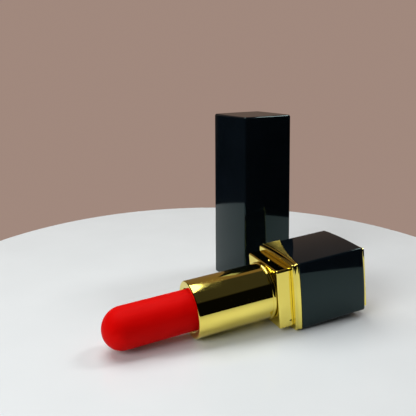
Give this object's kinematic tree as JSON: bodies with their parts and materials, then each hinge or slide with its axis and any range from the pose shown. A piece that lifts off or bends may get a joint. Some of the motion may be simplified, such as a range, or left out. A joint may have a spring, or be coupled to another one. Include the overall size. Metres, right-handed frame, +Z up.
{
  "type": "lipstick case",
  "caption": "Open square twist-up lipstick case lying on its side with its bullet raised, and its square cap standing behind it on its open end.",
  "frame": {"origin": "centre of the footprint of case and cap, on the surface they rest on", "axes": "+X from the bullet's nose towards the base's end plate, +Y from the case towards the cap, +Z up"},
  "size_m": [0.081, 0.0582, 0.0606],
  "materials": {
    "shell_black": "polished",
    "cap_black": "polished",
    "gold_trim": "polished, gold anodised",
    "gold_collar": "polished, gold anodised",
    "gold_tube": "polished, gold anodised",
    "gold_plate": "polished, gold anodised",
    "cup_gold": "metallised",
    "bullet_red": "satin wax",
    "mechanism_ivory": "moulded",
    "holder_dark": "moulded",
    "steel_weight": "plain",
    "silicone": "matte",
    "label_red": "satin film"
  },
  "bodies": {
    "base": {"base_shell": "shell_black", "shoulder_trim": "gold_trim", "collar": "gold_collar", "end_plate": "gold_plate", "shade_label": "label_red", "inner_holder": "holder_dark", "base_weight": "steel_weight", "guide_fork": "mechanism_ivory", "brake_ring": "silicone"},
    "tube": {"tube_cover": "gold_tube", "spiral_sleeve": "mechanism_ivory"},
    "carrier": {"carrier_cup": "cup_gold", "bullet": "bullet_red"},
    "cap": {"cap_shell": "cap_black", "cap_liner": "holder_dark", "cap_weight": "steel_weight"}
  },
  "joints": [
    {"name": "tube_turn", "type": "hinge", "parent": "base", "child": "tube", "pos_m": [0.01381, -0.01853, 0.01044], "axis": [0.997, 0, 0.077], "range_deg": [0, 486]},
    {"name": "carrier_slide", "type": "slide", "parent": "base", "child": "carrier", "axis": [0.997, 0, 0.077], "range_m": [0, 0.027]},
    {"name": "cap_lift", "type": "slide", "parent": "base", "child": "cap", "axis": [0, 0, 1], "range_m": [0, 0.065]}
  ],
  "couplings": [
    {"joint": "carrier_slide", "follows": "tube_turn", "m_per_rad": 0.0031831}
  ]
}
